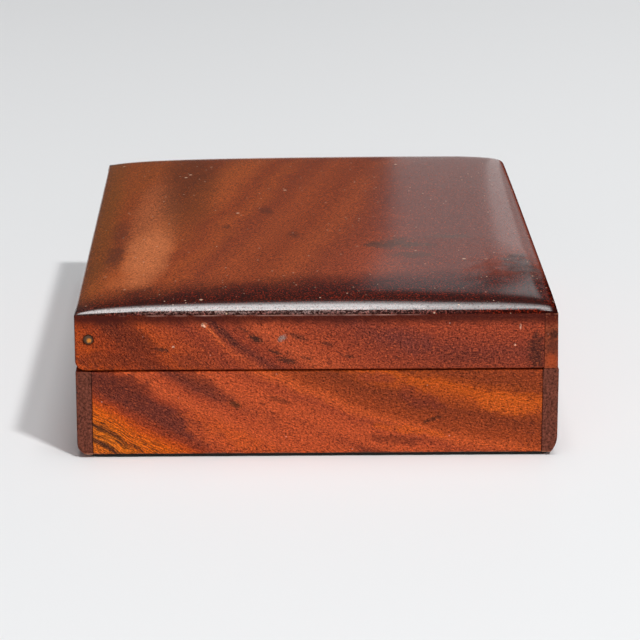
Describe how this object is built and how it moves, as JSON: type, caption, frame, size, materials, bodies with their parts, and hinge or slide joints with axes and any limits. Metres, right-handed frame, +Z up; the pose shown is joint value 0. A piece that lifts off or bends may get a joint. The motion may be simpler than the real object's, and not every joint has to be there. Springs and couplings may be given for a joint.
{
  "type": "trinket box",
  "caption": "Low rectangular mahogany trinket box with a pillow-shaped lid that turns on brass pins driven through its ends.",
  "frame": {"origin": "on the surface that the box stands on, under the middle of the closed box", "axes": "+X from the hinge side to the side that opens, +Y along the box, +Z up"},
  "size_m": [0.1152, 0.16, 0.0405],
  "materials": {
    "base_mahogany": "glossy varnish, figured",
    "lid_mahogany": "glossy varnish, figured",
    "pillow_mahogany": "glossy varnish, dark and worn",
    "bare_mahogany": "bare, planed",
    "baize": "dark wool baize, glued down",
    "pin_brass": "tarnished, bright on the crown"
  },
  "bodies": {
    "base": {"left_end_board": "base_mahogany", "right_end_board": "base_mahogany", "back_board": "base_mahogany", "front_board": "base_mahogany", "bottom_panel": "bare_mahogany", "base_baize": "baize", "left_hinge_pin": "pin_brass", "right_hinge_pin": "pin_brass"},
    "lid": {"lid_top": "pillow_mahogany", "lid_front_rail": "lid_mahogany", "lid_left_rail": "lid_mahogany", "lid_right_rail": "lid_mahogany"}
  },
  "joints": [
    {"name": "lid_hinge", "type": "hinge", "parent": "base", "child": "lid", "pos_m": [-0.05435, 0, 0.0294], "axis": [0, -1, 0], "range_deg": [0, 115]}
  ]
}
